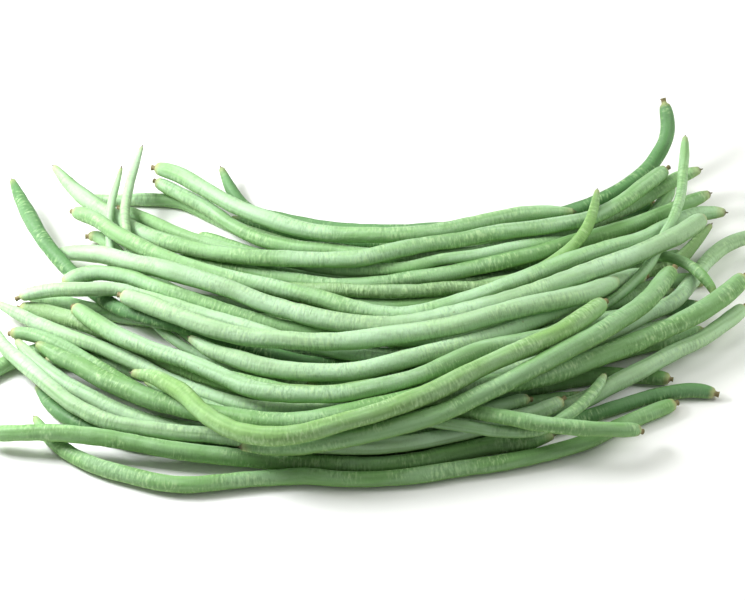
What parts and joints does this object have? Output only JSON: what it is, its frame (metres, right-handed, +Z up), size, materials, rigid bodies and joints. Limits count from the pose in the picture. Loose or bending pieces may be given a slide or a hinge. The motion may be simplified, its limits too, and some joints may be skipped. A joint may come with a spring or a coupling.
{
  "type": "yardlong bean bunch",
  "caption": "Loose heap of long slender fresh bean pods lying side by side, with bent tips and stalk stubs fanning out at both ends.",
  "frame": {"origin": "middle of the underside of the heap's bounding box, on the surface it lies on", "axes": "+X along the pods towards the end where most stalks are, +Y towards the heap's hollow side, +Z up"},
  "size_m": [0.4228, 0.2696, 0.0462],
  "materials": {
    "pod_skin_pale": "satin",
    "pod_skin_mint": "satin",
    "pod_skin_leaf": "satin",
    "pod_skin_deep": "satin",
    "pod_skin_straw": "satin",
    "pod_skin_olive": "satin"
  },
  "bodies": {
    "root": {"hidden_left_pod": "pod_skin_mint", "shaded_left_pod": "pod_skin_deep", "inner_low_pod": "pod_skin_leaf", "stub_front_pod": "pod_skin_leaf", "stub_left_pod": "pod_skin_mint", "stub_right_pod": "pod_skin_leaf", "hooked_stalk_pod": "pod_skin_mint", "third_rear_pod": "pod_skin_leaf", "rear_tip_pod": "pod_skin_leaf", "rear_low_pod": "pod_skin_mint", "left_inner_pod": "pod_skin_mint", "rear_inner_pod": "pod_skin_mint", "right_inner_pod": "pod_skin_leaf", "right_low_pod": "pod_skin_leaf", "rear_floor_pod": "pod_skin_deep", "back_arch_pod": "pod_skin_deep", "rear_pair_lower_pod": "pod_skin_mint", "rear_pair_upper_pod": "pod_skin_mint", "left_slope_pod": "pod_skin_mint", "right_bridge_pod": "pod_skin_leaf", "long_rear_pod": "pod_skin_mint", "rear_slope_pod": "pod_skin_leaf", "right_olive_pod": "pod_skin_olive", "thin_left_spike": "pod_skin_pale", "tall_left_spike": "pod_skin_pale", "spiked_rear_pod": "pod_skin_straw", "right_spike": "pod_skin_mint", "dark_left_pod": "pod_skin_deep", "middle_left_pod": "pod_skin_pale", "lower_left_pod": "pod_skin_pale", "front_left_pod": "pod_skin_pale", "olive_pod": "pod_skin_olive", "outer_left_pod": "pod_skin_pale", "thick_right_pod": "pod_skin_leaf", "low_slim_pod": "pod_skin_mint", "second_row_pod": "pod_skin_mint", "curved_middle_pod": "pod_skin_mint", "upper_rear_pod": "pod_skin_mint", "third_row_pod": "pod_skin_pale", "crest_pod": "pod_skin_pale", "broad_middle_pod": "pod_skin_pale", "front_floor_pod": "pod_skin_leaf", "second_floor_pod": "pod_skin_leaf", "front_right_pod": "pod_skin_leaf", "small_front_pod": "pod_skin_mint", "front_arch_pod": "pod_skin_leaf", "yellow_top_pod": "pod_skin_straw"}
  },
  "joints": []
}
